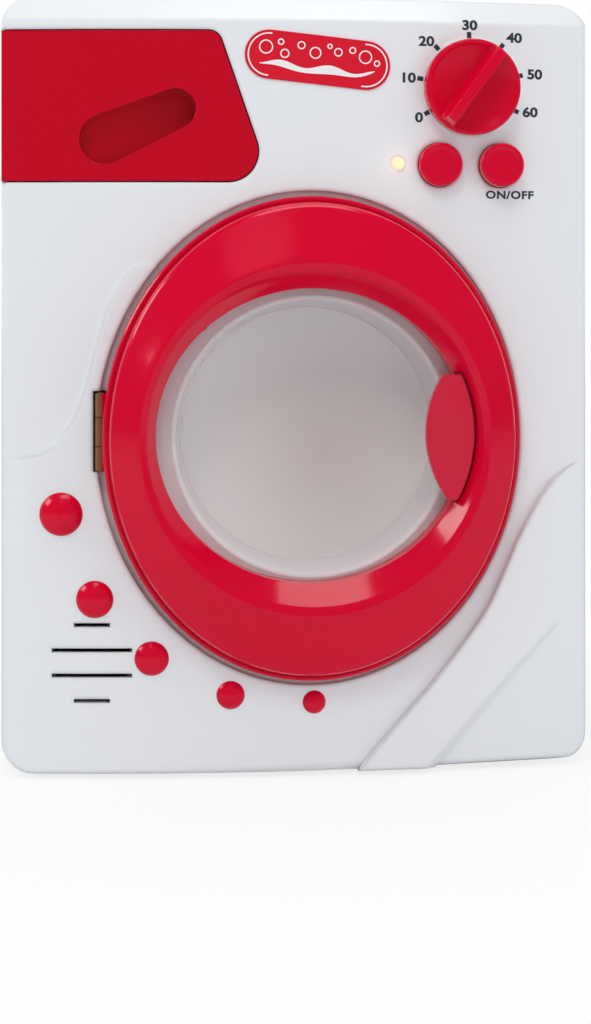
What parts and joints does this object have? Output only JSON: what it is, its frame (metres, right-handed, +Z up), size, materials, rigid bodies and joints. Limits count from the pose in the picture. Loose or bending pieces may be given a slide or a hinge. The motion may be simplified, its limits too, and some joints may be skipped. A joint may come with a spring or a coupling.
{
  "type": "toy washing machine",
  "caption": "Toy washing machine with an opening round door, a geared turning drum, a sliding drawer, a dial and push buttons.",
  "frame": {"origin": "on the floor, under the middle of the closed machine's box", "axes": "+Z up, the front with its door faces -Y, +X to the right of a viewer who faces the door"},
  "size_m": [0.2186, 0.1886, 0.286],
  "materials": {
    "white_abs": "glossy moulded white ABS",
    "red_abs": "glossy moulded red ABS",
    "deep_red_abs": "moulded red ABS, a little darker",
    "clear_styrene": "clear polystyrene, polished",
    "drum_plastic": "pale moulded polypropylene",
    "gear_acetal": "natural acetal",
    "zinc_steel": "bright zinc-plated steel",
    "sintered_bronze": "sintered bronze and brass, satin",
    "foot_rubber": "soft black rubber",
    "black_plastic": "black moulded plastic",
    "board_laminate": "glass-epoxy board with green solder mask",
    "led_lens": "warm diffused lamp body",
    "cell_jacket": "plain printed jacket",
    "vinyl_print": "red gloss vinyl sticker",
    "red_wire": "red wire insulation",
    "yellow_wire": "yellow wire insulation",
    "black_wire": "black wire insulation"
  },
  "bodies": {
    "housing": {"front_panel": "white_abs", "rear_housing": "white_abs", "foot_pads": "foot_rubber", "housing_screws": "zinc_steel", "tub": "white_abs", "tub_screws": "zinc_steel", "drum_bearing": "sintered_bronze", "gear_pin": "zinc_steel", "gearbox_plate": "white_abs", "gearbox_screws": "zinc_steel", "motor": "zinc_steel", "hinge_bracket": "zinc_steel", "hinge_screws": "zinc_steel", "hinge_pin": "zinc_steel", "drawer_guide": "white_abs", "guide_screws": "zinc_steel", "start_switch": "black_plastic", "power_switch": "black_plastic", "circuit_board": "board_laminate", "board_screws": "zinc_steel", "led": "led_lens", "speaker": "black_plastic", "speaker_screws": "zinc_steel", "battery_box": "white_abs", "battery_box_screws": "zinc_steel", "battery_contacts": "zinc_steel", "battery_cells": "cell_jacket", "battery_cover": "white_abs", "battery_cover_screw": "zinc_steel", "accent_stud_1": "red_abs", "accent_stud_2": "red_abs", "accent_stud_3": "red_abs", "accent_stud_4": "red_abs", "accent_stud_5": "red_abs", "front_badge": "vinyl_print", "battery_leads": "red_wire", "speaker_leads": "yellow_wire", "motor_leads": "black_wire"},
    "door": {"door_ring": "red_abs", "door_window": "clear_styrene", "window_screws": "zinc_steel", "handle_pin": "zinc_steel"},
    "handle": {"door_handle": "deep_red_abs"},
    "drum": {"drum": "drum_plastic", "drum_shaft": "zinc_steel", "drum_gear": "gear_acetal"},
    "compound": {"compound_gear": "gear_acetal"},
    "rotor": {"motor_shaft": "zinc_steel", "motor_pinion": "sintered_bronze"},
    "drawer": {"detergent_drawer": "red_abs"},
    "knob": {"program_knob": "red_abs", "knob_washer": "zinc_steel", "knob_screw": "zinc_steel"},
    "start": {"start_button": "red_abs"},
    "power": {"power_button": "red_abs"}
  },
  "joints": [
    {"name": "door_swing", "type": "hinge", "parent": "housing", "child": "door", "pos_m": [-0.0732, -0.07187, 0.1266], "axis": [0, 0, -1], "range_deg": [0, 100]},
    {"name": "handle_pull", "type": "hinge", "parent": "door", "child": "handle", "pos_m": [0.058, -0.08275, 0.1262], "axis": [0, 0, 1], "range_deg": [0, 6], "stiffness_Nm_per_rad": 0.08},
    {"name": "drum_spin", "type": "hinge", "parent": "housing", "child": "drum", "pos_m": [0.0038, 0, 0.1246], "axis": [0, 1, 0], "continuous": true},
    {"name": "compound_spin", "type": "hinge", "parent": "housing", "child": "compound", "pos_m": [0.03498, 0, 0.1426], "axis": [0, 1, 0], "continuous": true},
    {"name": "motor_spin", "type": "hinge", "parent": "housing", "child": "rotor", "pos_m": [0.04512, 0, 0.16167], "axis": [0, 1, 0], "continuous": true},
    {"name": "drawer_slide", "type": "slide", "parent": "housing", "child": "drawer", "axis": [0, -1, 0], "range_m": [0, 0.07]},
    {"name": "dial_turn", "type": "hinge", "parent": "housing", "child": "knob", "pos_m": [0.0633, 0, 0.253], "axis": [0, -1, 0], "range_deg": [-80, 156]},
    {"name": "start_press", "type": "slide", "parent": "housing", "child": "start", "axis": [0, 1, 0], "range_m": [0, 0.0022], "stiffness_N_per_m": 300},
    {"name": "power_press", "type": "slide", "parent": "housing", "child": "power", "axis": [0, 1, 0], "range_m": [0, 0.0022], "stiffness_N_per_m": 300}
  ],
  "couplings": [
    {"joint": "compound_spin", "follows": "drum_spin", "ratio": -5},
    {"joint": "motor_spin", "follows": "drum_spin", "ratio": 17.5}
  ]
}
